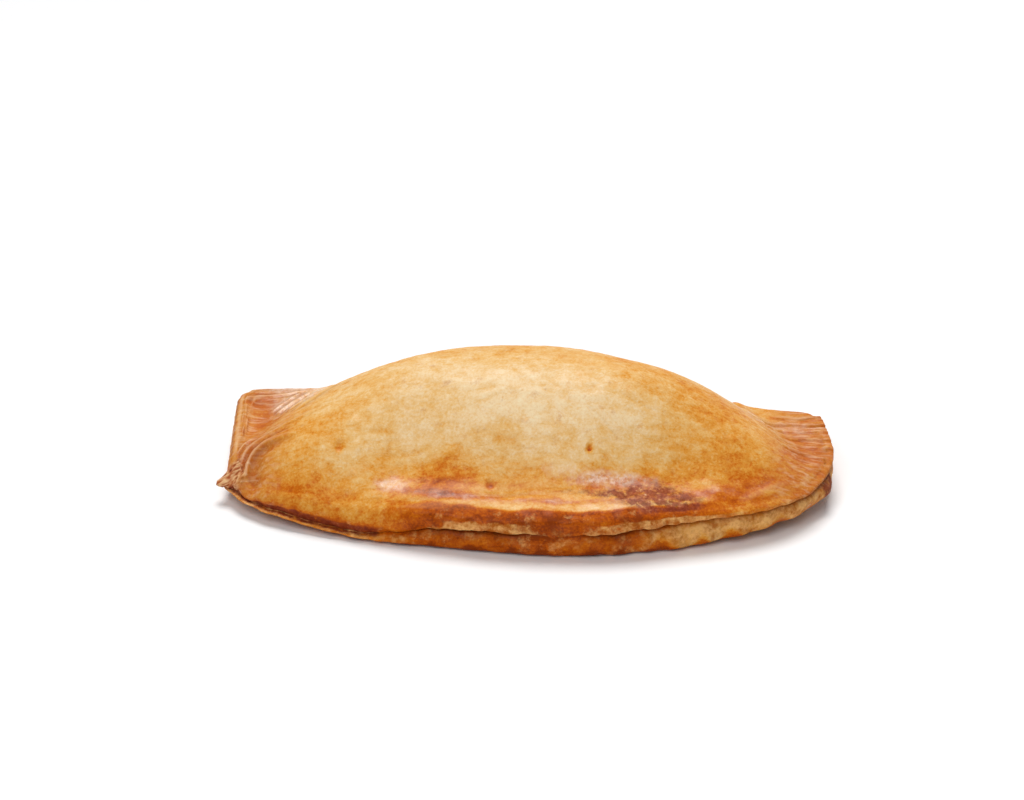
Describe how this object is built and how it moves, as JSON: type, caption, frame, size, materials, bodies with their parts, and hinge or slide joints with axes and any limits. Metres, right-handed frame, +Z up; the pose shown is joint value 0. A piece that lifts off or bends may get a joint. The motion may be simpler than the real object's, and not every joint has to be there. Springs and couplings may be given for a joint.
{
  "type": "empanada",
  "caption": "Baked half-moon empanada with a smooth puffed top, a two-layer pressed rim round the front and flat square ends, folded shut at the back.",
  "frame": {"origin": "on the surface that the empanada rests on, at the middle of its bounding box in plan", "axes": "+X along the length towards the pleated square end, +Y from the curved sealed front towards the fold, +Z up"},
  "size_m": [0.1552, 0.0708, 0.0329],
  "materials": {
    "baked_crust": "egg-washed baked wheat dough, golden on top and paler where the two layers are cut along the rim, satin"
  },
  "bodies": {
    "root": {"empanada": "baked_crust"}
  },
  "joints": []
}
